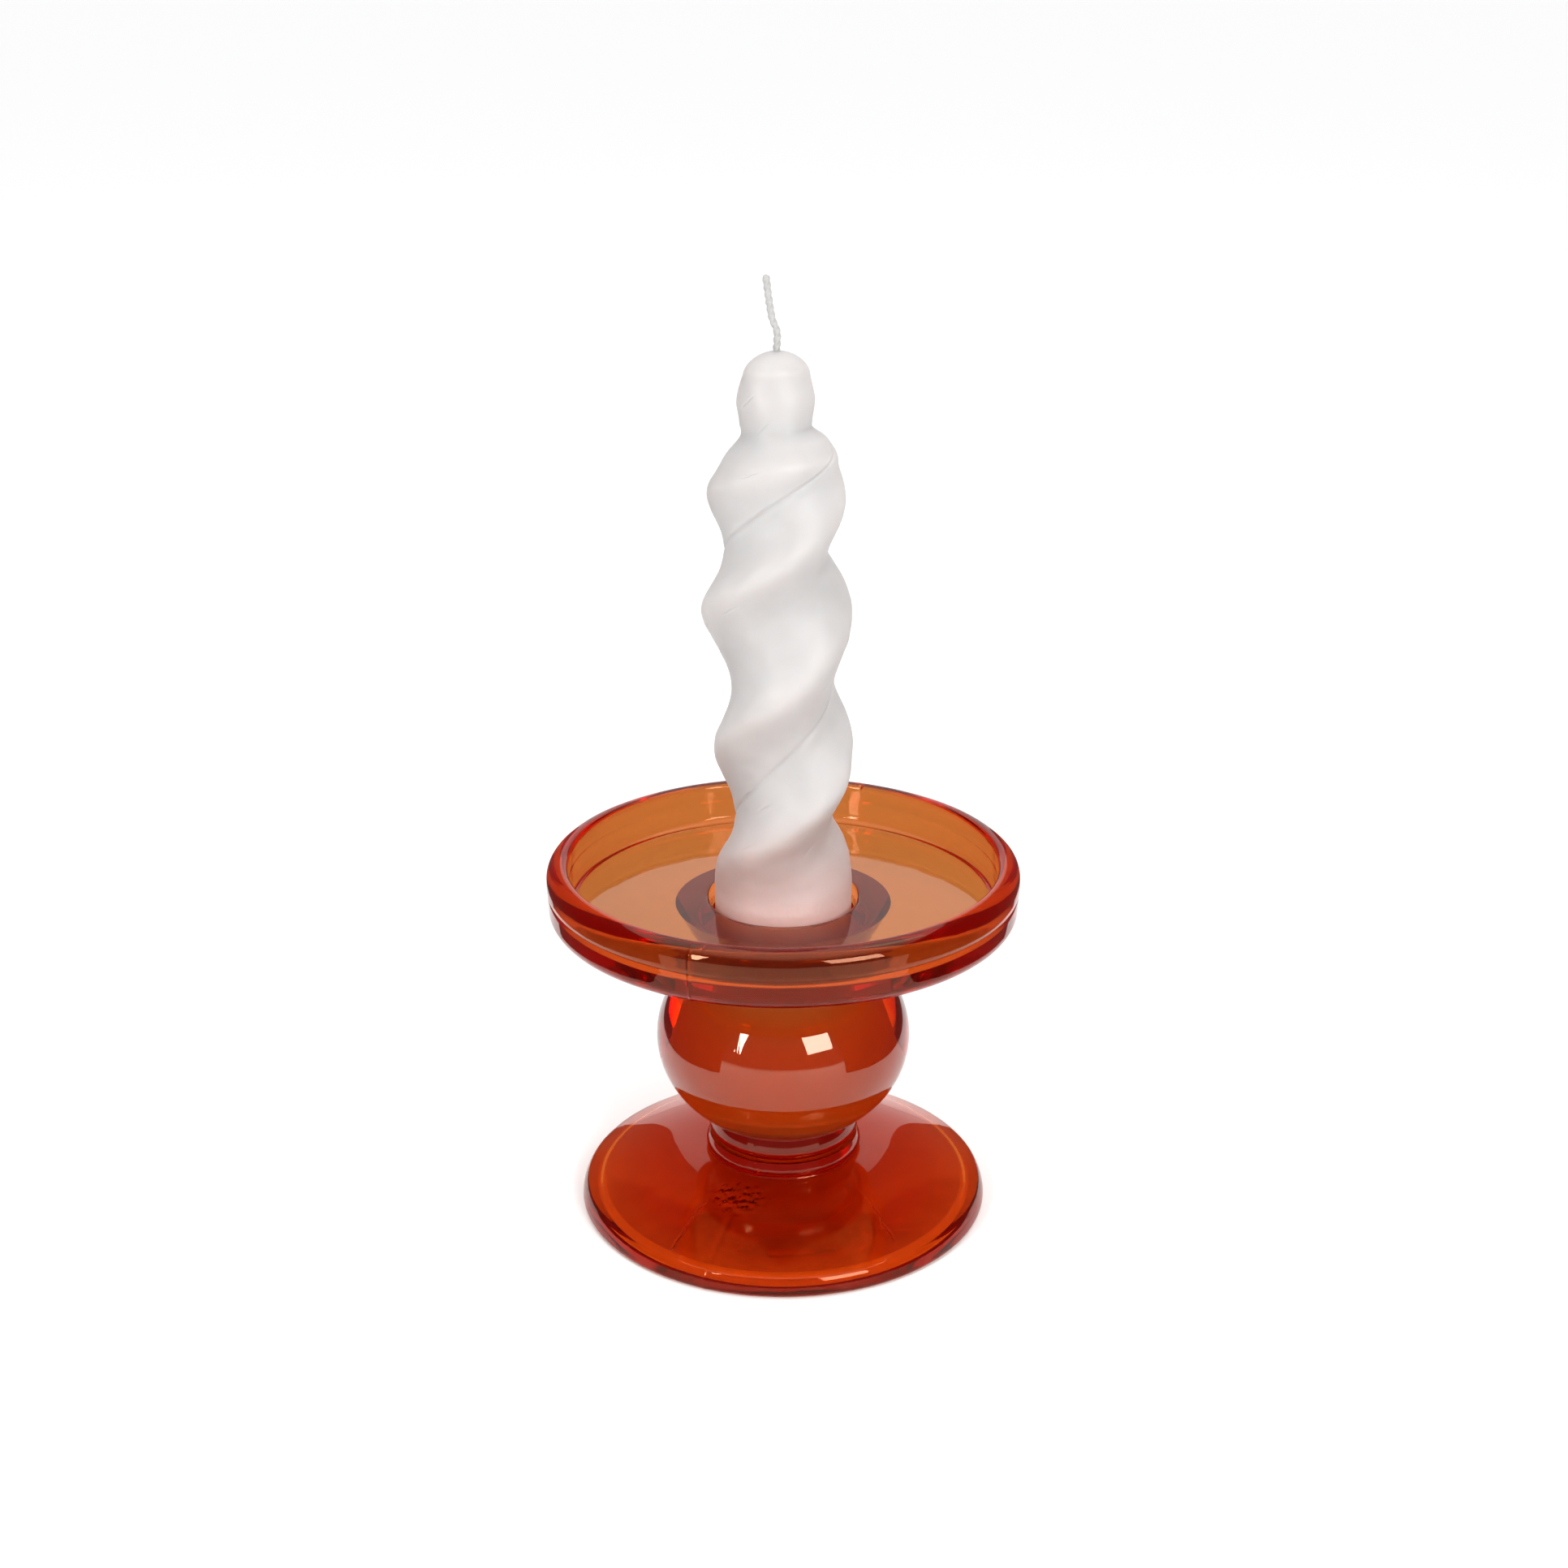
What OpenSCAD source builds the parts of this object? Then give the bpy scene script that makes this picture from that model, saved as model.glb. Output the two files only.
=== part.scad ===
// Pressed-glass candlestick: a drip tray on a solid ball stem, a ringed collar
// and a domed foot, with a twisted dinner candle standing in its socket.
// Millimetres, +Z up, origin at the centre of the foot's resting face.

/* [Drip tray] */
// Outer radius of the tray
tray_r = 39; // [36:0.5:42]
// Height of the tray's flat underside
tray_z = 52.4; // [51:0.2:54]
// Glass thickness of the tray's floor
tray_floor_t = 2.6; // [2:0.1:3.2]
// Height of the rim's crest above the underside
rim_h = 9.7; // [8.5:0.1:11]
// Radius of the rolled bead along the rim's outer side
bead_r = 2.66; // [2:0.1:2.8]
// Radius of the floor where it meets the wall
floor_r = 34.6; // [33:0.1:35]
// Radius of the rounded lower edge
tray_edge_r = 2.4; // [1.5:0.1:3]

/* [Candle socket] */
// Radius of the socket's wall
socket_r = 11.85; // [11.6:0.05:12.2]
// Depth of the socket below the tray's floor
socket_depth = 35; // [20:1:36]

/* [Neck] */
// Radius of the neck where it spreads under the tray
neck_top_r = 17.9; // [16:0.1:20]
// Height of the joint between the neck and the ball
neck_z = 43.6; // [43:0.1:45]

/* [Ball stem] */
// Half width of the flattened ball
ball_r = 21.47; // [20:0.1:23]
// Half height of the flattened ball
ball_half_h = 17.55; // [17:0.05:18]
// Height of the ball's centre
ball_z = 30.07; // [29.5:0.1:30.5]

/* [Collar] */
// Radius of the upper ring
collar_r = 12.8; // [12.7:0.1:14]
// Height of the joint between the ball and the upper ring
collar_z = 15.9; // [15.5:0.1:16.3]
// Radius of the lower ring
ring_r = 13.3; // [13:0.1:14.5]
// Height of the groove between the two rings
ring_z = 11.68; // [11:0.1:13]

/* [Foot] */
// Outer radius of the foot
foot_r = 34.7; // [32:0.5:38]
// Radius of the foot's slanted outer face
foot_face_r = 5; // [4:0.1:6]
// Height of the foot's flat seat under the lower ring
foot_z = 9.05; // [8.5:0.05:9.5]
// Radius of the recess in the foot's underside
recess_r = 30.7; // [28:0.1:31]
// Extra depth of the recess at its centre
recess_h = 1.4; // [0.4:0.1:2.5]

/* [Candle] */
// Radius of the candle's round butt
candle_r = 11.25; // [10.8:0.05:11.4]
// Width of the bevel round the foot of the butt
butt_bevel = 2.25; // [2:0.05:4]
// Height of the candle's shoulder above the table
candle_top = 144.6; // [130:0.5:150]
// Number of steps around the candle
candle_steps = 40; // [24:4:60]

/* [Wick] */
// Radius of the wick
wick_r = 0.62; // [0.4:0.02:0.9]
// Length of bare wick above the wax
wick_h = 11.3; // [6:0.1:14]

/* [Hidden] */
$fn = 96;
amber = [0.80, 0.30, 0.12];
wax = [0.93, 0.91, 0.90];
cotton = [0.96, 0.96, 0.94];

floor_z = tray_z + tray_floor_t;
rim_z = tray_z + rim_h;
socket_z = floor_z - socket_depth;
socket_corner = 2.5;
lip_r = 1.2;
cove_r = 1.5;

// The tray's wall stands a little inside its bead, with a shallow groove between
wall_r = tray_r - 0.05;
wall_step = 0.15;
groove_z = tray_z + 5.3;
groove_d = 0.2;
groove_w = 0.35;
crest_r = tray_r - bead_r;
crest_in = 0.2;
crest_w = 0.9;

// The neck flares from its waist to the tray
waist_h = 2.2;
neck_straight = 0.9;
flare_ratio = 0.62;

ball_step = 5;

// The two rings: how far each side bulges, and the lip round the lower one's foot
collar_bulge = 0.6;
ring_bulge = 0.5;
ring_lip = 0.35;
bulge_skew = 0.75;

// The foot's edge: a small toe, a slanted outer face and a rounded brow
toe_r = 0.7;
toe_end = 5;
face_end = 32;
brow_r = 0.9;
brow_end = 62;
seat_r = ring_r - 0.1;
recess_rim = 0.5;
recess_step = 0.8;

butt_gap = 0.05;
butt_z = socket_z + butt_gap;
butt_top_z = 56;
ring_pitch = 2.2;

// Depth of the wick's root in the wax
wick_seat = 6;
wick_sides = 16;
wick_pitch = 1.1;

// Radius of the flattened ball at height z
function ball_at(z) = ball_r * sqrt(1 - pow((z - ball_z) / ball_half_h, 2));

// Angle of the flattened ball's edge at height z, from its equator
function ball_angle(z) = asin((z - ball_z) / ball_half_h);

// Points of a round arc
function arc(cx, cz, r, from, to, n) =
    [for (i = [0 : n]) let (a = from + (to - from) * i / n) [cx + r * cos(a), cz + r * sin(a)]];

// ---------- glass ----------

module drip_tray() {
    wall_out = concat(
        arc(wall_r - wall_step - tray_edge_r, tray_z + tray_edge_r, tray_edge_r, -90, 0, 6),
        [[wall_r, groove_z - groove_w], [wall_r - groove_d, groove_z],
         [tray_r, groove_z + groove_w]]);
    bead = arc(crest_r, rim_z - bead_r, bead_r, 0, 90, 8);
    crest = arc(crest_r - crest_in, rim_z - crest_w, crest_w, 90, 170, 4);
    cove = arc(floor_r - 1, floor_z + cove_r, cove_r, -10, -90, 5);
    lip = arc(socket_r + lip_r, floor_z - lip_r, lip_r, 90, 180, 5);
    color(amber) rotate_extrude()
        polygon(concat([[socket_r, tray_z]], wall_out, bead, crest, cove, lip));
}

module tray_neck() {
    ball_top_r = ball_at(neck_z);
    waist_z = neck_z + waist_h;
    flare_h = tray_z - waist_z - neck_straight;
    flare_w = flare_h * flare_ratio;
    color(amber) rotate_extrude()
        polygon(concat([[socket_r, neck_z], [ball_top_r, neck_z]],
                       [for (a = [0 : 15 : 90])
                           [neck_top_r - flare_w * cos(a), waist_z + flare_h * (1 - cos(a))]],
                       [[neck_top_r, tray_z], [socket_r, tray_z]]));
}

module ball_stem() {
    low = ball_angle(collar_z);
    high = ball_angle(neck_z);
    steps = round((high - low) / ball_step);
    side = [for (i = [0 : steps]) let (a = low + (high - low) * i / steps)
        [ball_r * cos(a), ball_z + ball_half_h * sin(a)]];
    well = arc(socket_r - socket_corner, socket_z + socket_corner, socket_corner, 0, -90, 5);
    color(amber) rotate_extrude()
        polygon(concat([[0, collar_z]], side, [[socket_r, neck_z]], well, [[0, socket_z]]));
}

// A ring of glass r wide, bulged most below its middle, with a lip round its foot
module bulged_ring(r, z0, z1, bulge, lip) {
    steps = 18;
    side = [for (i = [0 : steps]) let (t = i / steps)
        [r - bulge + bulge * sin(180 * pow(t, bulge_skew)) + lip * pow(max(0, 1 - 9 * t), 2),
         z0 + (z1 - z0) * t]];
    rotate_extrude() polygon(concat([[0, z0]], side, [[0, z1]]));
}

module collar_ring() {
    color(amber) bulged_ring(collar_r, ring_z, collar_z, collar_bulge, 0);
}

module base_ring() {
    color(amber) bulged_ring(ring_r, foot_z, ring_z, ring_bulge, ring_lip);
}

// Centres of the foot's slanted face and of its brow, and the brow's upper end
function off(c, r, a) = [c[0] + r * cos(a), c[1] + r * sin(a)];
toe_c = [foot_r - toe_r, toe_r];
face_c = off(toe_c, toe_r - foot_face_r, toe_end);
brow_c = off(face_c, foot_face_r - brow_r, face_end);
brow_top = off(brow_c, brow_r, brow_end);

// Height of the foot's upper face at radius r
function dome_at(r) = brow_top[1] + (foot_z - brow_top[1])
    * cos(90 * (r - seat_r) / (brow_top[0] - seat_r));

// Height of the recess under the foot at radius r
function recess_at(r) = recess_rim + recess_h * (1 - pow(r / recess_r, 2));

module domed_foot() {
    under = [for (i = [0 : 10]) let (r = (recess_r - recess_step) * i / 10) [r, recess_at(r)]];
    toe = arc(toe_c[0], toe_c[1], toe_r, -90, toe_end, 5);
    face = arc(face_c[0], face_c[1], foot_face_r, toe_end + 4, face_end, 4);
    brow = arc(brow_c[0], brow_c[1], brow_r, face_end + 6, brow_end, 4);
    dome = [for (i = [1 : 14]) let (r = brow_top[0] + (seat_r - brow_top[0]) * i / 14) [r, dome_at(r)]];
    color(amber) rotate_extrude()
        polygon(concat(under, [[recess_r, 0]], toe, face, brow, dome, [[0, foot_z]]));
}

// ---------- candle ----------

// Angle of the twisted candle's wide direction, by height
LOBE_Z = [[57.4, 0], [81.1, 180], [104, 366], [123, 541], [137.5, 710], [145, 790]];
// Half width across the wide direction, by height
WIDE = [[57, candle_r], [74, 11.9], [81, 11.2], [98, 11.8], [108, 12.1], [118, 11.1],
        [124, 10.6], [128, 9.5], [131.2, 7], [133.2, 5.7], [137, 6], [141, 5.2]];
// Half width across the thin direction, by height
THIN = [[56, candle_r], [62, 9.5], [67, 8], [81, 7.6], [98, 8.4], [112, 8.1],
        [123, 8.4], [128, 8.8], [131.2, 6.8], [133.2, 5.4], [137, 5.7], [141, 4.7]];
// Sideways lean of the candle's axis, by height
LEAN = [[91, 0], [104, -1], [124, -1.1], [131.2, 0], [133.4, -1.2], [141, -1]];
dome_z = 141;

// Shrink factor of the butt's bevel and the rounded shoulder at height z
function shrink(z) = z < butt_z + butt_bevel ? 1 - (butt_z + butt_bevel - z) / candle_r
    : z <= dome_z ? 1 : sqrt(max(0, 1 - pow((z - dome_z) / (candle_top - dome_z), 2)));

// A point on the candle's surface at height z and angle t
function wax_point(z, t) =
    let (turn = lookup(z, LOBE_Z), k = shrink(z),
         u = k * lookup(z, WIDE) * cos(t), v = k * lookup(z, THIN) * sin(t))
    [lookup(z, LEAN) + u * cos(turn) - v * sin(turn), u * sin(turn) + v * cos(turn), z];

RING_Z = concat([butt_z, butt_z + butt_bevel, butt_top_z],
                [for (z = [58 : ring_pitch : 139]) z],
                [140.5, 142, 143.2, 144, 144.45]);

module candle_wax() {
    rings = len(RING_Z);
    n = candle_steps;
    points = concat(
        [for (z = RING_Z) for (i = [0 : n - 1]) wax_point(z, 360 * i / n)],
        [[0, 0, butt_z], [lookup(candle_top, LEAN), 0, candle_top]]);
    low = rings * n;
    top = low + 1;
    side = [for (k = [0 : rings - 2]) for (i = [0 : n - 1])
        let (a = k * n + i, b = k * n + (i + 1) % n)
        each [[a, a + n, b + n], [a, b + n, b]]];
    ends = [for (i = [0 : n - 1]) let (j = (i + 1) % n, last = (rings - 1) * n)
        each [[low, i, j], [top, last + j, last + i]]];
    color(wax) difference() {
        polyhedron(points = points, faces = concat(side, ends));
        translate([lookup(candle_top, LEAN), 0, candle_top - wick_seat])
            cylinder(r = wick_r, h = wick_seat + 1, $fn = wick_sides);
    }
}

// Sideways offsets of the wick's bend, by height above the wax
WICK_BEND = [[0, 0], [2.5, 0.1], [5, -0.7], [8, -1.2], [wick_h, -1.6]];

// A point on the wick's surface at height h above the wax
function wick_point(h, t) =
    [lookup(candle_top, LEAN) + lookup(max(h, 0), WICK_BEND) + wick_r * cos(t),
     wick_r * sin(t), candle_top + h];

module candle_wick() {
    n = wick_sides;
    levels = concat([-wick_seat, 0], [for (h = [1 : wick_pitch : wick_h]) h], [wick_h]);
    rings = len(levels);
    points = [for (h = levels) for (i = [0 : n - 1]) wick_point(h, 360 * i / n)];
    side = [for (k = [0 : rings - 2]) for (i = [0 : n - 1])
        let (a = k * n + i, b = k * n + (i + 1) % n)
        each [[a, a + n, b + n], [a, b + n, b]]];
    bottom = [for (i = [0 : n - 1]) i];
    last = [for (i = [n - 1 : -1 : 0]) (rings - 1) * n + i];
    color(cotton) polyhedron(points = points, faces = concat(side, [bottom, last]));
}

drip_tray();
tray_neck();
ball_stem();
collar_ring();
base_ring();
domed_foot();
candle_wax();
candle_wick();
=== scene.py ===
import math
import random

import bpy
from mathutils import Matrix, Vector, noise


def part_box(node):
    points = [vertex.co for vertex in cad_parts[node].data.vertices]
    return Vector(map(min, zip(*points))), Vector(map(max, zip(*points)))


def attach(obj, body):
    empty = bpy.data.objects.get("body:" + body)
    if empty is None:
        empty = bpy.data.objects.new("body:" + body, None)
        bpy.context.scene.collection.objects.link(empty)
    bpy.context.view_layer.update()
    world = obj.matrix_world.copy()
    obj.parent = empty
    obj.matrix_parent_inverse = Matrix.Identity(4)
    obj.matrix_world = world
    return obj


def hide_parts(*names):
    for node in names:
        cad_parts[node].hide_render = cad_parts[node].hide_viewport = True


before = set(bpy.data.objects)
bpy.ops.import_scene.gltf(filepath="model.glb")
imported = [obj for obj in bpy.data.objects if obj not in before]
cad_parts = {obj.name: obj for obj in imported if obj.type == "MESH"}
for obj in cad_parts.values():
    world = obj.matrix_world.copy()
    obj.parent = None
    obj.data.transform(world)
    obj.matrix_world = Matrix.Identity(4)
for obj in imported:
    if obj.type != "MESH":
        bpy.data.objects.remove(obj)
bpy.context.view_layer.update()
scene = bpy.context.scene

MM = 0.001


# ---------------------------------------------------------------- outlines and meshes

def arc(cr, cz, radius, start, end, steps):
    """Points of a round arc in the (radius, height) plane, angles in degrees."""
    turn = [math.radians(start + (end - start) * i / steps) for i in range(steps + 1)]
    return [(cr + radius * math.cos(a), cz + radius * math.sin(a)) for a in turn]


def run(kind, *points):
    """A stretch of an outline: kind is out (moulded side), in (plunger side) or bond (glass to glass)."""
    return [(r, z, kind) for r, z in points]


def refine(outline, closed, longest):
    """Splits every free segment into pieces no longer than the given length."""
    fine = []
    last = len(outline) if closed else len(outline) - 1
    for i in range(last):
        r0, z0, kind = outline[i]
        r1, z1, _ = outline[(i + 1) % len(outline)]
        parts = 1 if kind == "bond" else max(1, math.ceil(math.hypot(r1 - r0, z1 - z0) / longest))
        for k in range(parts):
            t = k / parts
            fine.append((r0 + (r1 - r0) * t, z0 + (z1 - z0) * t, kind))
    if not closed:
        fine.append(outline[-1])
    return fine


def new_mesh(name, verts, faces):
    """A smooth-shaded object from vertices and faces."""
    mesh = bpy.data.meshes.new(name)
    mesh.from_pydata(verts, [], faces)
    mesh.validate()
    obj = bpy.data.objects.new(name, mesh)
    scene.collection.objects.link(obj)
    mesh.shade_smooth()
    return obj


# ---------------------------------------------------------------- pressed glass surface

RIPPLE = 0.045 * MM
RIPPLE_SEED = 7
SEAM_H = 0.09 * MM
SEAM_W = 0.22 * MM
SEAM_TURNS = (-111.5, 68.5)
STEPS_ROUND = 300


def round_angles(fine):
    """Angles round the axis, closer together at the mould's seams and at any fine angles."""
    steps = [360 * i / STEPS_ROUND for i in range(STEPS_ROUND)]
    for seam in SEAM_TURNS:
        steps += [(seam + d) % 360 for d in (-1.2, -0.8, -0.5, -0.25, 0, 0.25, 0.5, 0.8, 1.2)]
    steps += [a % 360 for a in fine]
    steps = sorted(set(round(a, 4) for a in steps))
    return [a for i, a in enumerate(steps) if i == 0 or a - steps[i - 1] > 0.05]


# The vector noise would start from the clock without a seed, and differ from run to run
noise.seed_set(RIPPLE_SEED)


def ripple(p):
    """The slow unevenness of glass that cooled in a mould, as a small vector."""
    slow = noise.noise_vector(p * 90)
    quick = noise.noise_vector(p * 260 + Vector((7, 3, 1)))
    return (slow * 0.75 + quick * 0.25) * RIPPLE


def seam(angle, r, width):
    """How much of the mould's seam stands at an angle in degrees and a radius, from 0 to 1."""
    rise = 0
    for turn in SEAM_TURNS:
        off = math.radians((angle - turn + 180) % 360 - 180) * r
        rise += math.exp(-(off / width) ** 2)
    return rise


def lathe(name, outline, closed, longest=0.55 * MM, extra=None, seam_h=SEAM_H, seam_w=SEAM_W, fine=()):
    """A turned glass solid; faces on bond stretches get the attribute bonded = 1."""
    points = refine(outline, closed, longest)
    angles = round_angles(fine)
    n = len(angles)
    verts, rings = [], []
    for k, (r, z, kind) in enumerate(points):
        before = points[k - 1][2] if closed or k else kind
        free = kind == "out" and before == "out"
        if r < 1e-7:
            rings.append([len(verts)] * n)
            verts.append(Vector((0, 0, z)))
            continue
        ring = []
        for a in angles:
            rad = r + (seam(a, r, seam_w) * seam_h if free else 0)
            p = Vector((rad * math.cos(math.radians(a)), rad * math.sin(math.radians(a)), z))
            p += ripple(Vector((p.x, p.y, z)))
            if extra:
                p = extra(p, kind, a)
            ring.append(len(verts))
            verts.append(p)
        rings.append(ring)
    faces, bonded = [], []
    last = len(rings) if closed else len(rings) - 1
    for k in range(last):
        low, high = rings[k], rings[(k + 1) % len(rings)]
        for i in range(n):
            j = (i + 1) % n
            face = []
            for v in (low[i], low[j], high[j], high[i]):
                if v not in face:
                    face.append(v)
            faces.append(face)
            bonded.append(1.0 if points[k][2] == "bond" else 0.0)
    obj = new_mesh(name, verts, faces)
    mark = obj.data.attributes.new("bonded", "FLOAT", "FACE")
    mark.data.foreach_set("value", bonded)
    obj.data.set_sharp_from_angle(angle=math.radians(38))
    return obj


# ---------------------------------------------------------------- materials

def shader(name):
    """A new material, its node tree and its Principled node."""
    material = bpy.data.materials.new(name)
    material.use_nodes = True
    tree = material.node_tree
    return material, tree, tree.nodes["Principled BSDF"]


def add(tree, kind, **values):
    """A new node with its settings."""
    node = tree.nodes.new(kind)
    for key, value in values.items():
        setattr(node, key, value)
    return node


def noise_node(tree, coord, scale, detail=2):
    """A noise texture laid over the object's own coordinates."""
    node = add(tree, "ShaderNodeTexNoise")
    node.inputs["Scale"].default_value = scale
    node.inputs["Detail"].default_value = detail
    tree.links.new(coord.outputs["Object"], node.inputs["Vector"])
    return node


def remap(tree, value, from_range, to_range, interpolation="LINEAR"):
    """A node that maps a value from one range to another."""
    node = add(tree, "ShaderNodeMapRange", interpolation_type=interpolation)
    node.inputs["From Min"].default_value, node.inputs["From Max"].default_value = from_range
    node.inputs["To Min"].default_value, node.inputs["To Max"].default_value = to_range
    tree.links.new(value, node.inputs["Value"])
    return node


def roughen(tree, surface, height, strength, distance):
    """Fine relief on a surface, from a noise texture."""
    bump = add(tree, "ShaderNodeBump")
    bump.inputs["Strength"].default_value = strength
    bump.inputs["Distance"].default_value = distance
    tree.links.new(height.outputs["Fac"], bump.inputs["Height"])
    tree.links.new(bump.outputs["Normal"], surface.inputs["Normal"])


def amber_glass(name, stain, depth, density, ior, gloss):
    """Orange-red glass: stain tints each surface that light crosses, depth and density colour its bulk.

    Faces marked bonded are where two sections are one glass, so they have no surface of their own.
    """
    material, tree, glass = shader(name)
    glass.inputs["Base Color"].default_value = stain
    glass.inputs["Transmission Weight"].default_value = 1
    glass.inputs["IOR"].default_value = ior
    glass.inputs["Specular Tint"].default_value = gloss
    coord = add(tree, "ShaderNodeTexCoord")
    smear = noise_node(tree, coord, 120, 4)
    rough = remap(tree, smear.outputs["Fac"], (0.35, 0.75), (0.012, 0.05))
    tree.links.new(rough.outputs["Result"], glass.inputs["Roughness"])
    roughen(tree, glass, noise_node(tree, coord, 700), 0.06, 0.02 * MM)
    fused = add(tree, "ShaderNodeAttribute", attribute_name="bonded")
    through = add(tree, "ShaderNodeBsdfTransparent")
    mix = add(tree, "ShaderNodeMixShader")
    tree.links.new(fused.outputs["Fac"], mix.inputs["Fac"])
    tree.links.new(glass.outputs["BSDF"], mix.inputs[1])
    tree.links.new(through.outputs["BSDF"], mix.inputs[2])
    output = tree.nodes["Material Output"]
    tree.links.new(mix.outputs["Shader"], output.inputs["Surface"])
    colour = add(tree, "ShaderNodeVolumeAbsorption")
    colour.inputs["Color"].default_value = depth
    colour.inputs["Density"].default_value = density
    tree.links.new(colour.outputs["Volume"], output.inputs["Volume"])
    return material


def candle_wax():
    """White wax that light soaks into, with painted light: pinker and redder towards the glass, where orange
    light from the glass falls on it.
    """
    material, tree, wax = shader("white_wax")
    wax.inputs["Subsurface Weight"].default_value = 0.9
    wax.inputs["Subsurface Radius"].default_value = (1.0, 0.75, 0.62)
    wax.inputs["Subsurface Scale"].default_value = 6.0 * MM
    wax.inputs["IOR"].default_value = 1.44
    coord = add(tree, "ShaderNodeTexCoord")
    cloud = noise_node(tree, coord, 70, 5)
    tone = add(tree, "ShaderNodeValToRGB")
    tone.color_ramp.elements[0].position = 0.3
    tone.color_ramp.elements[0].color = (0.415, 0.407, 0.406, 1)
    tone.color_ramp.elements[1].position = 0.75
    tone.color_ramp.elements[1].color = (0.48, 0.471, 0.469, 1)
    tree.links.new(cloud.outputs["Fac"], tone.inputs["Fac"])
    split = add(tree, "ShaderNodeSeparateXYZ")
    tree.links.new(coord.outputs["Object"], split.inputs["Vector"])
    # Painted light: towards its foot the wax's colour is multiplied pinker and brighter in red, standing in
    # for orange light from the glass
    depth = remap(tree, split.outputs["Z"], (76 * MM, 48 * MM), (0, 1), "SMOOTHSTEP")
    painted_amber_light = add(tree, "ShaderNodeMix", data_type="RGBA", blend_type="MULTIPLY")
    painted_amber_light.inputs["B"].default_value = (1.3, 0.95, 0.9, 1)
    tree.links.new(depth.outputs["Result"], painted_amber_light.inputs["Factor"])
    tree.links.new(tone.outputs["Color"], painted_amber_light.inputs["A"])
    tree.links.new(painted_amber_light.outputs["Result"], wax.inputs["Base Color"])
    rough = remap(tree, cloud.outputs["Fac"], (0, 1), (0.38, 0.6))
    tree.links.new(rough.outputs["Result"], wax.inputs["Roughness"])
    roughen(tree, wax, noise_node(tree, coord, 420, 6), 0.25, 0.08 * MM)
    return material


def cotton_wick():
    """Waxed white cotton with a fine fibre."""
    material, tree, cotton = shader("cotton_wick")
    cotton.inputs["Roughness"].default_value = 0.75
    cotton.inputs["Sheen Weight"].default_value = 0.3
    fibre = noise_node(tree, add(tree, "ShaderNodeTexCoord"), 1500, 4)
    tone = add(tree, "ShaderNodeValToRGB")
    tone.color_ramp.elements[0].color = (0.29, 0.286, 0.28, 1)
    tone.color_ramp.elements[1].color = (0.42, 0.417, 0.41, 1)
    tree.links.new(fibre.outputs["Fac"], tone.inputs["Fac"])
    tree.links.new(tone.outputs["Color"], cotton.inputs["Base Color"])
    roughen(tree, cotton, fibre, 0.5, 0.05 * MM)
    return material


# ---------------------------------------------------------------- glass sections

tray_low, tray_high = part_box("drip_tray")
neck_low, neck_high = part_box("tray_neck")
ball_low, ball_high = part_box("ball_stem")
collar_low, collar_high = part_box("collar_ring")
ring_low, ring_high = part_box("base_ring")
foot_low, foot_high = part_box("domed_foot")
wax_low, wax_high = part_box("candle_wax")
wick_low, wick_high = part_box("candle_wick")

# The meshes stay this far inside the CAD outlines, so that seams and ripples don't stand out of them
PROUD = SEAM_H + RIPPLE
# Gap between the faces of two bonded sections, at either side of their joint
GAP = 0.01 * MM
COLLAR_BULGE, RING_BULGE, RING_LIP = 0.6 * MM, 0.5 * MM, 0.35 * MM
COLLAR_BASE_R = collar_high.x - PROUD - COLLAR_BULGE
RING_BASE_R = ring_high.x - PROUD - RING_BULGE
SOCKET_R = 11.85 * MM
SOCKET_CORNER = 2.5 * MM
BUTT_GAP = 0.05 * MM
BALL_SEAM_H = 0.015 * MM
FOOT_SEAM_H, FOOT_SEAM_W = 0.09 * MM, 0.6 * MM
# Folds in the foot: angle, drift in degrees from one end to the other, nearest and farthest radius
FOLDS = ((-126, 1.5, 21 * MM, 33 * MM), (-50, -4, 19.5 * MM, 31 * MM))
FOLD_H, FOLD_W = 0.05 * MM, 0.2 * MM
# Chilled patch in the foot: angle, radius of its middle, half width across and along
CHILL = (-113, 18.8 * MM, 4.6 * MM, 3.4 * MM)
CHILL_H = 0.22 * MM

stem_amber = amber_glass("stem_amber", (1, 1, 1, 1), (0.955, 0.535, 0, 1), 270, 1.66, (1, 0.8, 0.62, 1))
ring_amber = amber_glass("ring_amber", (0.42, 0.36, 0.3, 1), (0.94, 0.5, 0, 1), 270, 1.66, (1, 0.5, 0.35, 1))
# The tray's stain is partly its own orange tint and partly painted shade: its red is kept low to stand in for
# the shaded table seen through the tray
tray_amber = amber_glass("tray_amber", (0.45, 0.26, 0.085, 1), (0.98, 0.38, 0, 1), 310, 1.5, (1, 0.5, 0.3, 1))
foot_amber = amber_glass("foot_amber", (0.97, 0.41, 0.13, 1), (0.92, 0.49, 0, 1), 220, 1.5, (1, 0.5, 0.3, 1))


def glass_piece(obj, node, material):
    """Gives a glass mesh its material and says which CAD node it replaces."""
    obj.data.materials.append(material)
    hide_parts(node)
    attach(obj, "candlestick")
    return obj


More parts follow.
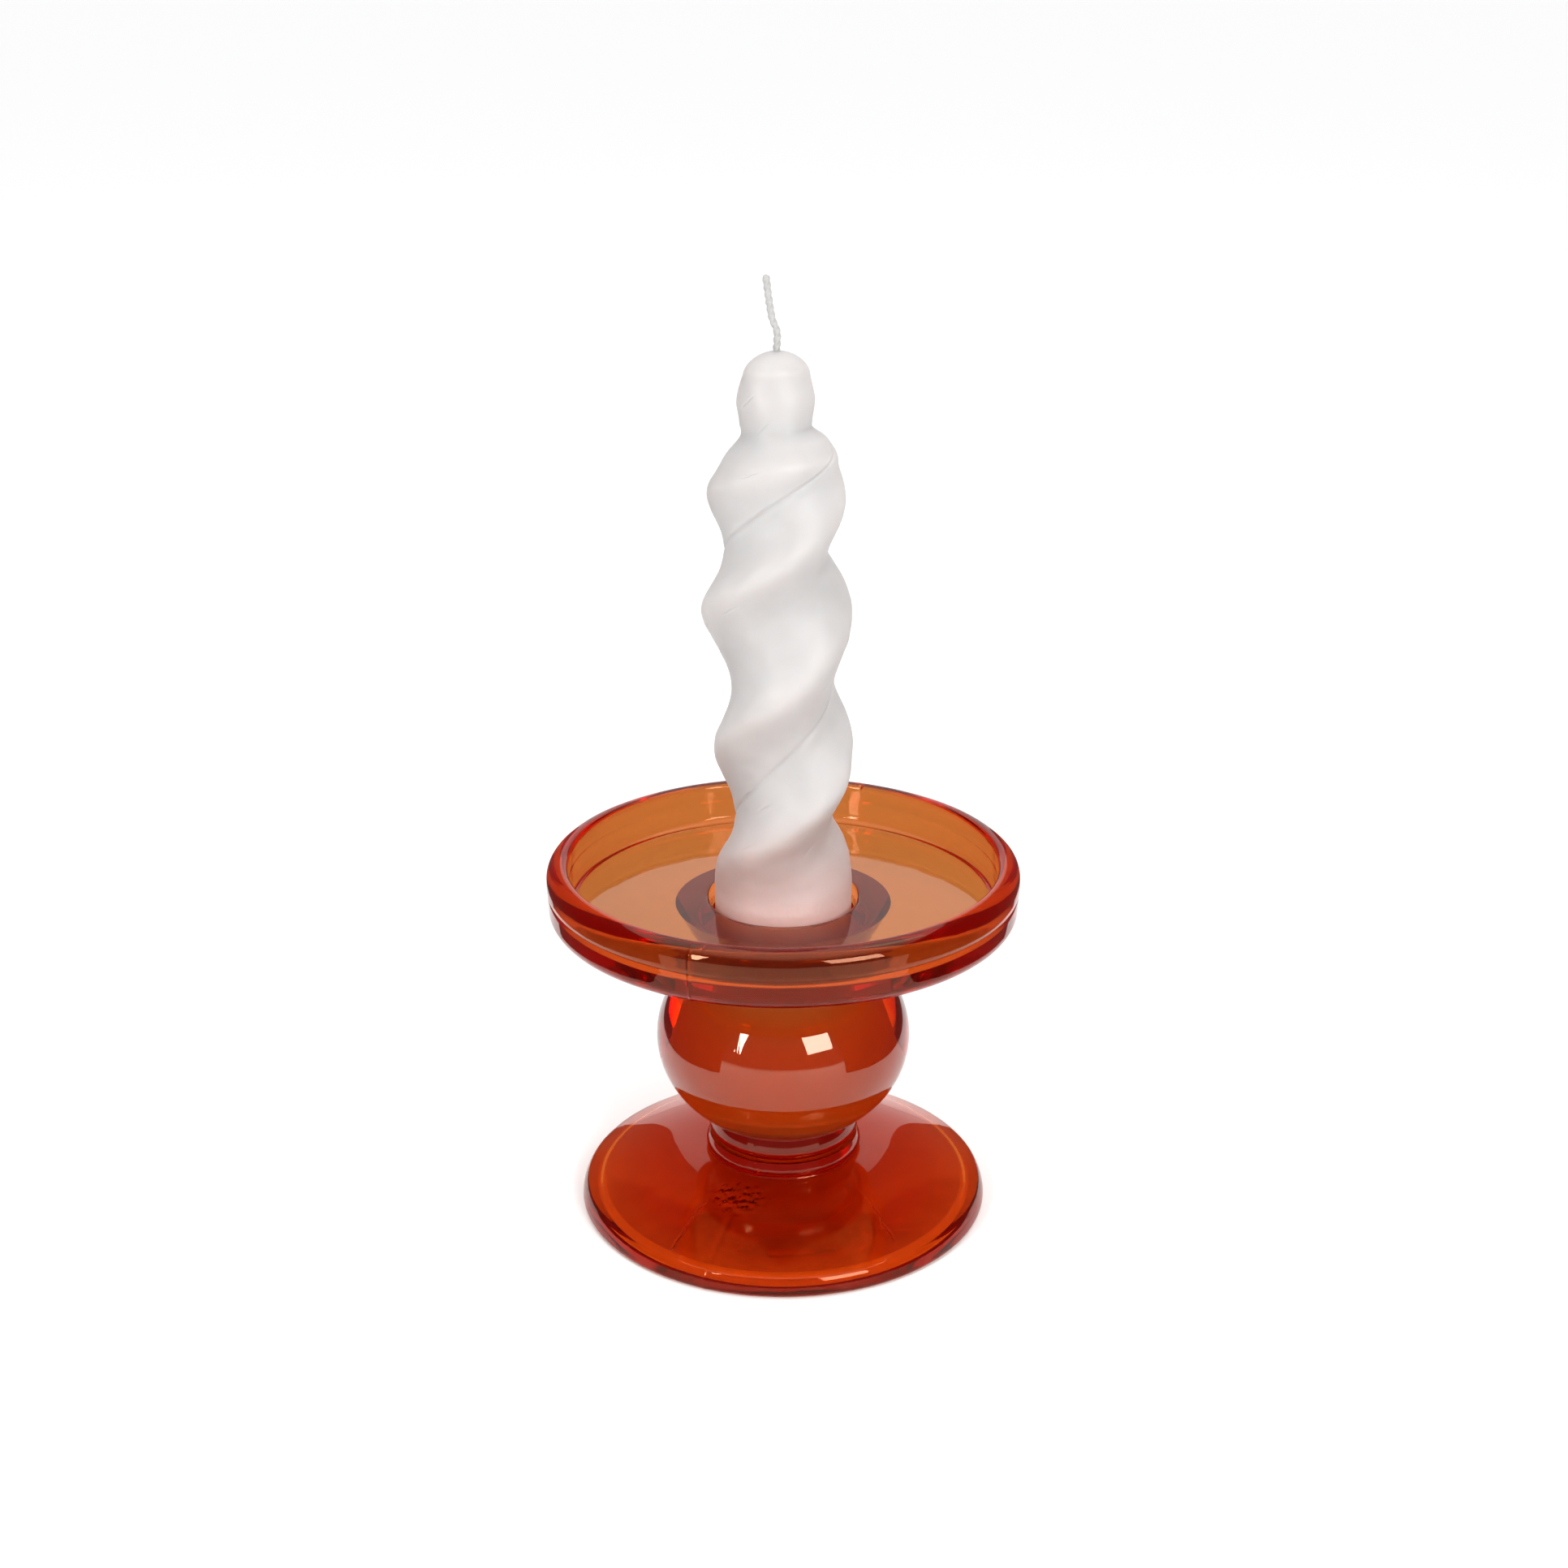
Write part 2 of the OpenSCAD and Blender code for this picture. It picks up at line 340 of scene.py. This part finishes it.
def drip_tray():
    """The tray: flat floor with a soft-lipped hole, upright wall with a line round it, rolled bead on top."""
    r = tray_high.x - PROUD
    z0, z1 = tray_low.z, tray_high.z - RIPPLE
    floor_z = z0 + 2.6 * MM
    floor_r = 34.6 * MM
    edge, bead, crest_in = 2.4 * MM, 2.6 * MM, 1.0 * MM
    cove, cove_in, lip = 1.5 * MM, 1.0 * MM, 1.2 * MM
    groove_z = z0 + 5.3 * MM
    wall_r = r - 0.12 * MM
    under = run("bond", (SOCKET_R, z0 + GAP)) + run("out", (neck_high.x - PROUD, z0 + GAP))
    outer = run("out", *arc(wall_r - 0.1 * MM - edge, z0 + edge, edge, -90, 0, 14))
    groove = run("out", (wall_r, groove_z - 0.4 * MM), (wall_r - 0.05 * MM, groove_z - 0.18 * MM),
                 (wall_r - 0.08 * MM, groove_z), (wall_r - 0.02 * MM, groove_z + 0.18 * MM),
                 (r, groove_z + 0.6 * MM))
    crest = run("out", *arc(r - bead, z1 - bead, bead, 0, 82, 16))
    inner = run("in", *arc(r - bead, z1 - crest_in, crest_in, 90, 172, 10),
                *arc(floor_r - cove_in, floor_z + cove, cove, -8, -90, 10),
                *arc(SOCKET_R + lip, floor_z - lip, lip, 90, 180, 10))
    glass = lathe("tray_glass", under + outer + groove + crest + inner, True)
    return glass_piece(glass, "drip_tray", tray_amber)


def ball_radius(z):
    """Radius of the flattened ball at a height."""
    centre, half_h, half_w = 30.07 * MM, 17.55 * MM, ball_high.x - PROUD
    return half_w * math.sqrt(1 - ((z - centre) / half_h) ** 2)


def tray_neck():
    """The neck: a short stretch of the ball, then a round flare out to the tray."""
    z0, z1 = neck_low.z, neck_high.z
    top_r = neck_high.x - PROUD
    waist_z = z0 + 2.2 * MM
    rise = z1 - waist_z
    spread = rise * 0.55
    flare = [(top_r - spread * math.cos(math.radians(a)), waist_z + rise * (1 - math.cos(math.radians(a))))
             for a in range(0, 91, 9)]
    outline = (run("bond", (SOCKET_R, z0 + GAP)) + run("out", (ball_radius(z0), z0 + GAP), *flare[:-1])
               + run("bond", (top_r, z1 - GAP), (SOCKET_R, z1 - GAP)))
    return glass_piece(lathe("neck_glass", outline, True), "tray_neck", stem_amber)


def ball_stem():
    """The flattened ball, with the candle's socket bored down into it."""
    z0, z1 = ball_low.z, ball_high.z
    well_z = wax_low.z - BUTT_GAP
    side = [(ball_radius(z0 + (z1 - z0) * t), z0 + (z1 - z0) * t)
            for t in [0.5 - 0.5 * math.cos(math.pi * i / 40) for i in range(41)]]
    side[0] = (side[0][0], z0 + GAP)
    outline = (run("bond", (0, z0 + GAP)) + run("out", (COLLAR_BASE_R, z0 + GAP), *side[:-1])
               + run("bond", (side[-1][0], z1 - GAP), (SOCKET_R, z1 - GAP),
                     *arc(SOCKET_R - SOCKET_CORNER, well_z + SOCKET_CORNER, SOCKET_CORNER, 0, -90, 8),
                     (0, well_z)))
    return glass_piece(lathe("ball_glass", outline, False, seam_h=BALL_SEAM_H), "ball_stem", stem_amber)


def bulged_ring(name, node, r, z0, z1, bulge, lip, above_r):
    """A ring of glass, widest below its middle, with a lip round its foot, bonded out to above_r on top."""
    rise = z1 - z0 - 2 * GAP
    side = [(r + bulge * math.sin(math.pi * t ** 0.75) + lip * max(0.0, 1 - t * 9) ** 2, z0 + GAP + rise * t)
            for t in [i / 24 for i in range(25)]]
    outline = (run("bond", (0, z0 + GAP)) + run("out", *side)
               + run("bond", (min(above_r, r), z1 - GAP), (0, z1 - GAP)))
    return glass_piece(lathe(name, outline, False, longest=0.35 * MM), node, ring_amber)


def domed_foot():
    """The foot: small toe, slanted outer face, rounded brow, shallow dome, and a recess underneath."""
    r = foot_high.x - FOOT_SEAM_H - RIPPLE
    top_z = foot_high.z
    seat_r = ring_high.x - 0.1 * MM
    recess_r, recess_h, recess_rim, recess_step = 30.7 * MM, 1.4 * MM, 0.5 * MM, 0.8 * MM
    toe_r, face_r, brow_r = 0.7 * MM, 5.0 * MM, 0.9 * MM
    toe = arc(r - toe_r, toe_r, toe_r, -90, 5, 8)
    face = arc(r - 4.98 * MM, 0.33 * MM, face_r, 6, 32, 9)
    brow = arc(r - 1.5 * MM, 2.5 * MM, brow_r, 34, 62, 6)
    start, start_z = brow[-1]

    def dome(rad):
        t = (rad - seat_r) / (start - seat_r)
        return start_z + (top_z - start_z) * max(0.0, math.cos(math.pi / 2 * t))

    under = [(rad, recess_h * (1 - (rad / recess_r) ** 2) + recess_rim)
             for rad in [(recess_r - recess_step) * i / 40 for i in range(41)]]
    top = [(rad, dome(rad)) for rad in [start - (start - seat_r) * i / 40 for i in range(1, 41)]]
    outline = (run("in", *under) + run("out", (recess_r, 0.0), *toe, *face, *brow)
               + run("out", *top[:-1], (seat_r, top_z - GAP))
               + run("bond", (RING_BASE_R + RING_LIP, top_z - GAP), (0, top_z - GAP)))

    def marks(p, kind, a):
        """Fold lines and a rough chilled patch in the pressed foot, which rests flat on the table."""
        if kind != "out" or p.z < start_z:
            return Vector((p.x, p.y, max(p.z, 0.0)))
        rad = math.hypot(p.x, p.y)
        for turn, drift, near, far in FOLDS:
            wander = drift * (rad - near) / (far - near) + 1.1 * noise.noise(Vector((rad * 420, turn, 2)))
            off = math.radians(a - 360 * round((a - turn) / 360) - turn - wander) * rad
            fade = min(1, max(0, (rad - near) / (2 * MM))) * min(1, max(0, (far - rad) / (2 * MM)))
            p.z += FOLD_H * fade * math.exp(-(off / FOLD_W) ** 2)
        turn, centre, across, along = CHILL
        off = math.radians(a - 360 * round((a - turn) / 360) - turn) * rad
        near = math.exp(-((off / across) ** 2 + ((rad - centre) / along) ** 2) ** 2)
        if near > 0.02:
            p.z += CHILL_H * near * (noise.noise(p * 950) + 0.4 * noise.noise(p * 2300))
        return p

    fine = [turn + 0.28 * k for turn, _, _, _ in FOLDS for k in range(-16, 17)]
    fine += [CHILL[0] + 0.5 * k for k in range(-32, 33)]
    return glass_piece(lathe("foot_glass", outline, False, 0.4 * MM, marks, FOOT_SEAM_H, FOOT_SEAM_W, fine),
                       "domed_foot", foot_amber)


drip_tray()
tray_neck()
ball_stem()
bulged_ring("collar_glass", "collar_ring", COLLAR_BASE_R, collar_low.z, collar_high.z,
            COLLAR_BULGE, 0, COLLAR_BASE_R)
bulged_ring("base_ring_glass", "base_ring", RING_BASE_R, ring_low.z, ring_high.z,
            RING_BULGE, RING_LIP, COLLAR_BASE_R)
domed_foot()


# ---------------------------------------------------------------- candle

# Millimetres and degrees: how the twist turns with height, and the section's half widths and lean
LOBE_Z = ((57.4, 0), (81.1, 180), (104, 366), (123, 541), (137.5, 710), (145, 790))
WIDE = ((57, 11.25), (74, 11.9), (81, 11.2), (98, 11.8), (108, 12.1), (118, 11.1),
        (124, 10.6), (128, 9.5), (131.2, 7.0), (133.2, 5.7), (137, 6.0), (141, 5.2))
THIN = ((56, 11.25), (62, 9.5), (67, 8), (81, 7.6), (98, 8.4), (112, 8.1),
        (123, 8.4), (128, 8.8), (131.2, 6.8), (133.2, 5.4), (137, 5.7), (141, 4.7))
LEAN = ((91, 0), (104, -1), (124, -1.1), (131.2, 0), (133.4, -1.2), (141, -1))
SHOULDER_Z = 141
BEVEL = 2.25
CREASE_D, CREASE_W = 0.4, 3.5
NICKS = 26
NICK_D = 0.16
BUTT_TOP_Z = 56
WAX_ROUND, WAX_STEPS = 260, 330


def curve_at(table, x):
    """A smooth curve through a table's points (monotone between them)."""
    if x <= table[0][0]:
        return table[0][1]
    if x >= table[-1][0]:
        return table[-1][1]
    n = len(table)
    slope = [(table[i + 1][1] - table[i][1]) / (table[i + 1][0] - table[i][0]) for i in range(n - 1)]

    def tangent(i):
        if i == 0 or i == n - 1:
            return slope[0] if i == 0 else slope[-1]
        a, b = slope[i - 1], slope[i]
        return 0 if a * b <= 0 else 2 * a * b / (a + b)

    i = max(k for k in range(n - 1) if table[k][0] <= x)
    h = table[i + 1][0] - table[i][0]
    t = (x - table[i][0]) / h
    return ((1 + 2 * t) * (1 - t) ** 2 * table[i][1] + t * (1 - t) ** 2 * h * tangent(i)
            + t * t * (3 - 2 * t) * table[i + 1][1] + t * t * (t - 1) * h * tangent(i + 1))


def crease(t, z):
    """The sharp fold down one side of the twist, and its fading ends."""
    off = (t - 90 + 180) % 360 - 180
    depth = 0.5 + 0.5 * noise.noise(Vector((0, 3, z * 0.16)))
    return -CREASE_D * depth * math.exp(-(off / CREASE_W) ** 2) * min(1, max(0, (z - 60) / 6))


def candle():
    """The candle's wax: a flattened section that turns as it rises, on a round butt, under a domed top."""
    top = wax_high.z / MM
    butt = wax_low.z / MM
    n = WAX_ROUND
    levels = [butt + (top - 0.02 - butt) * i / WAX_STEPS for i in range(WAX_STEPS)]
    levels = sorted(set(levels + [top - below for below in (0.6, 0.35, 0.15, 0.04)]))
    rng = random.Random(7)
    nicks = [(rng.uniform(0, 360), rng.uniform(62, 138), rng.uniform(0.5, 1.1)) for _ in range(NICKS)]
    verts = []
    for z in levels:
        k = 1.0 if z < SHOULDER_Z else math.sqrt(max(0.0, 1 - ((z - SHOULDER_Z) / (top - SHOULDER_Z)) ** 2))
        k *= 1 - max(0.0, butt + BEVEL - z) / curve_at(WIDE, butt)
        turn = math.radians(curve_at(LOBE_Z, z))
        wide, thin, lean = curve_at(WIDE, z), curve_at(THIN, z), curve_at(LEAN, z)
        close = [nick for nick in nicks if abs(nick[1] - z) < 2.5]
        for i in range(n):
            deg = 360 * i / n
            t = math.radians(deg)
            u, v = k * wide * math.cos(t), k * thin * math.sin(t)
            p = Vector((lean + u * math.cos(turn) - v * math.sin(turn),
                        u * math.sin(turn) + v * math.cos(turn), z))
            away = Vector((p.x - lean, p.y, 0)).normalized()
            if z > BUTT_TOP_Z:
                lump = noise.noise(p * 0.13) * 0.22 + noise.noise(p * 0.4 + Vector((5, 1, 2))) * 0.09
                p += away * (lump * min(1, (z - BUTT_TOP_Z) / 4) + crease(deg, z)) * k
            for at, height, size in close:
                off = math.radians((deg - at + 180) % 360 - 180) * 10
                near = (off / (0.35 * size)) ** 2 + ((z - height) / (0.8 * size)) ** 2
                p -= away * NICK_D * math.exp(-near)
            if abs(z - BUTT_TOP_Z) < 4:
                ragged = noise.noise(p * 1.1) * 0.05 + noise.noise(p * 2.7) * 0.06
                p += away * ragged * (1 - abs(z - BUTT_TOP_Z) / 4)
            verts.append(p * MM)
    faces = []
    for k in range(len(levels) - 1):
        for i in range(n):
            j = (i + 1) % n
            faces.append((k * n + i, k * n + j, (k + 1) * n + j, (k + 1) * n + i))
    faces.append(tuple(reversed(range(n))))
    peak = len(verts)
    verts.append(Vector((curve_at(LEAN, top), 0, top)) * MM)
    last = (len(levels) - 1) * n
    faces += [(last + i, last + (i + 1) % n, peak) for i in range(n)]
    obj = new_mesh("candle_body", verts, faces)
    obj.data.set_sharp_from_angle(angle=math.radians(50))
    obj.data.materials.append(candle_wax())
    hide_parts("candle_wax")
    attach(obj, "candle")


# How far the wick leans at heights above the wax, in millimetres
WICK_BEND = ((0, 0), (2.5, 0.1), (5, -0.7), (8, -1.2), (11.3, -1.6))


def wick():
    """The wick: three twisted strands with a bend, rooted 1 mm in the wax."""
    root = wax_high.z / MM
    height = (wick_high.z - wax_high.z) / MM
    radius, strands, n, steps = 0.52, 3, 18, 130
    verts = []
    for k in range(steps + 1):
        h = -1 + (height + 1) * k / steps
        bend = curve_at(WICK_BEND, max(h, 0))
        close = math.sqrt(max(0.02, 1 - max(0.0, (h - height + 0.5) / 0.5) ** 2))
        for i in range(n):
            t = 2 * math.pi * i / n
            twist = 0.07 * math.cos(strands * (t - h * 1.9))
            r = (radius + twist + 0.03 * noise.noise(Vector((t, h, 4)) * 2)) * close
            x = curve_at(LEAN, root) + bend + r * math.cos(t)
            verts.append(Vector((x, r * math.sin(t), root + h)) * MM)
    faces = [tuple(reversed(range(n)))]
    for k in range(steps):
        for i in range(n):
            j = (i + 1) % n
            faces.append((k * n + i, k * n + j, (k + 1) * n + j, (k + 1) * n + i))
    faces.append(tuple(range(steps * n, (steps + 1) * n)))
    obj = new_mesh("wick_cotton", verts, faces)
    obj.data.materials.append(cotton_wick())
    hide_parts("candle_wick")
    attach(obj, "candle")


candle()
wick()


# ---------------------------------------------------------------- studio

def studio_floor():
    """A plain white table."""
    half, z = 20.0, -0.0002
    floor = new_mesh("studio_floor", [(-half, -half, z), (half, -half, z), (half, half, z), (-half, half, z)],
                     [(0, 1, 2, 3)])
    material, tree, paper = shader("white_table")
    paper.inputs["Base Color"].default_value = (0.92, 0.92, 0.92, 1)
    paper.inputs["Roughness"].default_value = 0.7
    floor.data.materials.append(material)


def black_card(name, x):
    """A dark card beside the glass, seen only in its reflections, that keeps the glass's edges dark."""
    near, far, near_h, far_h = -0.085, 0.32, 0.13, 0.30
    top_x = x * 0.8
    card = new_mesh(name, [(x, near, 0), (x, far, 0), (top_x, far, far_h), (top_x, near, near_h)],
                    [(0, 1, 2, 3)])
    material, tree, paper = shader(name)
    paper.inputs["Base Color"].default_value = (0.10, 0.05, 0.04, 1)
    paper.inputs["Roughness"].default_value = 0.9
    card.data.materials.append(material)
    card.visible_camera = card.visible_diffuse = False
    card.visible_shadow = card.visible_transmission = False


def softbox(name, azimuth, elevation, width, height, radiance):
    """An area light seen from the ball at an angle right of, and above, the camera's side."""
    ball_front, distance = Vector((0, -0.018, 0.037)), 0.9
    az, el = math.radians(azimuth), math.radians(elevation)
    away = Vector((math.sin(az) * math.cos(el), -math.cos(az) * math.cos(el), math.sin(el)))
    light = bpy.data.lights.new(name, "AREA")
    light.shape = "RECTANGLE"
    light.size = 2 * distance * math.tan(math.radians(width / 2))
    light.size_y = 2 * distance * math.tan(math.radians(height / 2))
    light.color = (1.0, 0.985, 0.975)
    light.energy = radiance * math.pi * light.size * light.size_y
    obj = bpy.data.objects.new(name, light)
    obj.location = ball_front + away * distance
    obj.rotation_euler = (-away).to_track_quat("-Z", "Y").to_euler()
    obj.visible_camera = False
    scene.collection.objects.link(obj)


def studio_world():
    """White room: bright behind and overhead, dim on the camera's side, plain white to the camera."""
    world = bpy.data.worlds.new("studio")
    scene.world = world
    world.use_nodes = True
    tree = world.node_tree
    tree.nodes.clear()
    coord = add(tree, "ShaderNodeTexCoord")
    split = add(tree, "ShaderNodeSeparateXYZ")
    tree.links.new(coord.outputs["Generated"], split.inputs["Vector"])
    side = remap(tree, split.outputs["Y"], (0.1, 0.7), (0.25, 1.15))
    above = remap(tree, split.outputs["Z"], (0.7, 0.95), (0, 2.7))
    total = add(tree, "ShaderNodeMath", operation="ADD")
    tree.links.new(side.outputs["Result"], total.inputs[0])
    tree.links.new(above.outputs["Result"], total.inputs[1])
    path = add(tree, "ShaderNodeLightPath")
    seen = add(tree, "ShaderNodeMix", data_type="FLOAT")
    seen.inputs["B"].default_value = 1.25
    tree.links.new(path.outputs["Is Camera Ray"], seen.inputs["Factor"])
    tree.links.new(total.outputs["Value"], seen.inputs["A"])
    sky = add(tree, "ShaderNodeBackground")
    tree.links.new(seen.outputs["Result"], sky.inputs["Strength"])
    output = add(tree, "ShaderNodeOutputWorld")
    tree.links.new(sky.outputs["Background"], output.inputs["Surface"])


def camera():
    """The camera, in front of the object and above it."""
    data = bpy.data.cameras.new("camera")
    data.sensor_width = 36
    data.lens = 51.67
    obj = bpy.data.objects.new("camera", data)
    obj.location = (0.12 * MM, -341.46 * MM, 202.73 * MM)
    obj.rotation_euler = (math.radians(90 - 20.565), 0, 0)
    scene.collection.objects.link(obj)
    scene.camera = obj


camera()
studio_floor()
studio_world()
black_card("card_left", -0.11)
black_card("card_right", 0.11)
softbox("softbox_left", -42.5, 26, 8, 25, 28)
softbox("softbox_right", 34.5, 28.5, 24, 22, 15)
softbox("panel_back_left", -149.5, 30, 5, 22, 1.2)
softbox("panel_back_right", 131, 62, 12, 14, 1.5)
scene.view_settings.view_transform = "Standard"
scene.cycles.use_denoising = True
scene.cycles.max_bounces = 64
scene.cycles.glossy_bounces = 64
scene.cycles.transmission_bounces = 64
scene.cycles.transparent_max_bounces = 32
